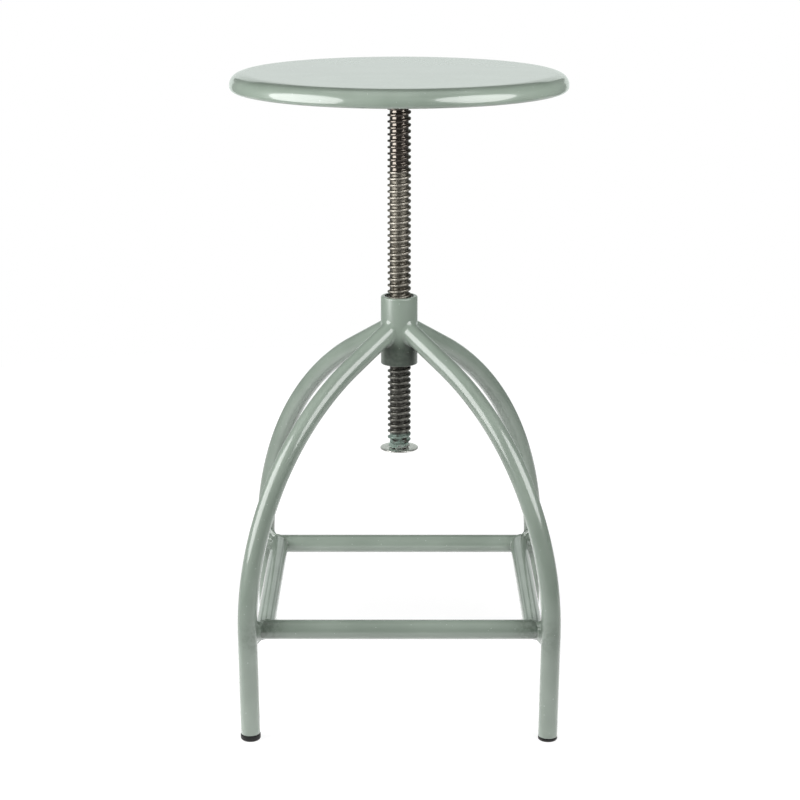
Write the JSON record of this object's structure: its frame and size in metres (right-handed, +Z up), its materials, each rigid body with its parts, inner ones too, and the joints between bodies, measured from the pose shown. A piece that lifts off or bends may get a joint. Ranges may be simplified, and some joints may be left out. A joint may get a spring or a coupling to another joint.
{
  "type": "bar stool",
  "caption": "Height-adjustable bar stool: a round pressed-steel seat on a screw spindle that turns in the hub of a tube frame with splayed curved legs and a square foot rail.",
  "frame": {"origin": "on the floor, on the spindle's axis, midway between the feet", "axes": "+Z up along the spindle, +X to the right and -Y towards the front as the picture shows the stool, with a stretcher facing the front"},
  "size_m": [0.345, 0.345, 0.664],
  "materials": {
    "sage_paint": "gloss sage-green paint with a slight orange peel",
    "worn_steel": "bare steel, dark and oiled, worn grey on the thread",
    "bright_steel": "zinc-plated, satin",
    "black_plastic": "matt black moulded plastic"
  },
  "bodies": {
    "frame": {"hub": "sage_paint", "thread_bush": "worn_steel", "front_left_leg": "sage_paint", "front_right_leg": "sage_paint", "rear_left_leg": "sage_paint", "rear_right_leg": "sage_paint", "front_stretcher": "sage_paint", "rear_stretcher": "sage_paint", "left_stretcher": "sage_paint", "right_stretcher": "sage_paint", "front_left_foot": "black_plastic", "front_right_foot": "black_plastic", "rear_left_foot": "black_plastic", "rear_right_foot": "black_plastic", "hub_welds": "sage_paint", "stretcher_welds": "sage_paint"},
    "stop": {"stop_washer": "bright_steel"},
    "seat": {"spindle": "worn_steel", "lock_nut": "bright_steel", "stop_bolt": "bright_steel", "mounting_plate": "worn_steel", "plate_weld_bead": "worn_steel", "cross_brace": "sage_paint", "seat_pan": "sage_paint", "seat_bolts": "bright_steel", "seat_washers": "bright_steel", "weld_nuts": "bright_steel"}
  },
  "joints": [
    {"name": "seat_lift", "type": "slide", "parent": "frame", "child": "stop", "axis": [0, 0, 1], "range_m": [-0.2077, 0.0913]},
    {"name": "seat_turn", "type": "hinge", "parent": "stop", "child": "seat", "pos_m": [0, 0, 0.4], "axis": [0, 0, 1], "range_deg": [-11400, 5004]}
  ],
  "couplings": [
    {"joint": "seat_lift", "follows": "seat_turn", "m_per_rad": 0.0010425}
  ]
}
